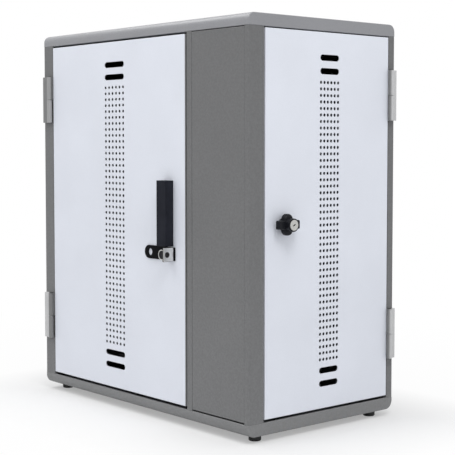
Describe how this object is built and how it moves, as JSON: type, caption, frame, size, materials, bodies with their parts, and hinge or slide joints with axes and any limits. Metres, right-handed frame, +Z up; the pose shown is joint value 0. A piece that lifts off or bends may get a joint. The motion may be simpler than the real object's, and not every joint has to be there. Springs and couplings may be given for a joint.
{
  "type": "tablet charging cabinet",
  "caption": "Upright sheet-metal cabinet for charging tablets, with a wide front door, a narrow side door, air holes, a padlock latch and a key knob.",
  "frame": {"origin": "on the ground, at the middle of the outline seen from above, latch and knob included", "axes": "+Z up, -Y out of the wide front door, +X out of the narrow side door"},
  "size_m": [0.5454, 0.3194, 0.598],
  "materials": {
    "frame_grey": "textured satin powder coat",
    "cap_grey": "textured satin powder coat",
    "door_white": "satin powder coat",
    "inner_grey": "satin powder coat",
    "hinge_metal": "satin",
    "zinc_steel": "zinc plated",
    "black_latch": "satin black",
    "black_knob": "satin black",
    "bright_metal": "bright plated",
    "black_plastic": "fine grain",
    "unit_plastic": "fine grain",
    "black_rubber": "matte"
  },
  "bodies": {
    "cabinet": {"top_cap": "cap_grey", "base_cap": "cap_grey", "floor_deck": "inner_grey", "ceiling_deck": "inner_grey", "left_panel": "frame_grey", "mid_post": "frame_grey", "corner_post": "frame_grey", "rear_post": "frame_grey", "front_panel": "frame_grey", "divider": "inner_grey", "back_panel": "frame_grey", "shelf_01": "inner_grey", "shelf_02": "inner_grey", "shelf_03": "inner_grey", "shelf_04": "inner_grey", "shelf_05": "inner_grey", "shelf_06": "inner_grey", "shelf_07": "inner_grey", "shelf_08": "inner_grey", "shelf_09": "inner_grey", "shelf_10": "inner_grey", "shelf_11": "inner_grey", "shelf_cleats": "inner_grey", "front_stile_leaves": "hinge_metal", "side_stile_leaves": "hinge_metal", "front_hinge_pins": "zinc_steel", "side_hinge_pins": "zinc_steel", "stile_leaf_screws": "zinc_steel", "door_pads": "black_rubber", "adapter_tray_1": "inner_grey", "adapter_tray_2": "inner_grey", "adapter_tray_3": "inner_grey", "power_strip": "black_plastic", "outlet_sockets": "black_plastic", "control_unit": "unit_plastic", "power_inlet": "black_plastic", "switch_housing": "black_plastic", "feet": "black_rubber", "foot_screws": "zinc_steel"},
    "front_door": {"front_door": "door_white", "front_stiffeners": "door_white", "front_door_leaves": "hinge_metal", "front_leaf_screws": "zinc_steel", "latch_plate": "black_latch", "pull_handle": "black_latch"},
    "latch": {"latch_hub": "black_latch", "hub_ring": "bright_metal", "padlock_tab": "bright_metal", "latch_cam": "zinc_steel", "latch_cam_fixings": "zinc_steel"},
    "side_door": {"side_door": "door_white", "side_stiffeners": "door_white", "side_door_leaves": "hinge_metal", "side_leaf_screws": "zinc_steel", "knob_base": "black_knob"},
    "knob": {"wing_knob": "black_knob", "knob_cam": "zinc_steel", "knob_cam_fixings": "zinc_steel"},
    "key_plug": {"key_plug": "bright_metal"},
    "rocker": {"rocker_switch": "black_plastic"}
  },
  "joints": [
    {"name": "front_door_hinge", "type": "hinge", "parent": "cabinet", "child": "front_door", "pos_m": [-0.24865, -0.14225, 0.30475], "axis": [0, 0, -1], "range_deg": [0, 170]},
    {"name": "side_door_hinge", "type": "hinge", "parent": "cabinet", "child": "side_door", "pos_m": [0.25235, 0.14685, 0.30525], "axis": [0, 0, 1], "range_deg": [0, 170]},
    {"name": "latch_turn", "type": "hinge", "parent": "front_door", "child": "latch", "pos_m": [0.07945, -0.13825, 0.25525], "axis": [0, -1, 0], "range_deg": [0, 90]},
    {"name": "knob_turn", "type": "hinge", "parent": "side_door", "child": "knob", "pos_m": [0.24835, -0.07425, 0.30525], "axis": [-1, 0, 0], "range_deg": [0, 90]},
    {"name": "key_turn", "type": "hinge", "parent": "knob", "child": "key_plug", "pos_m": [0.27235, -0.07425, 0.30525], "axis": [-1, 0, 0], "range_deg": [0, 90]},
    {"name": "rocker_tilt", "type": "hinge", "parent": "cabinet", "child": "rocker", "pos_m": [0.19735, 0.15325, 0.1383], "axis": [-1, 0, 0], "range_deg": [0, 16]}
  ]
}
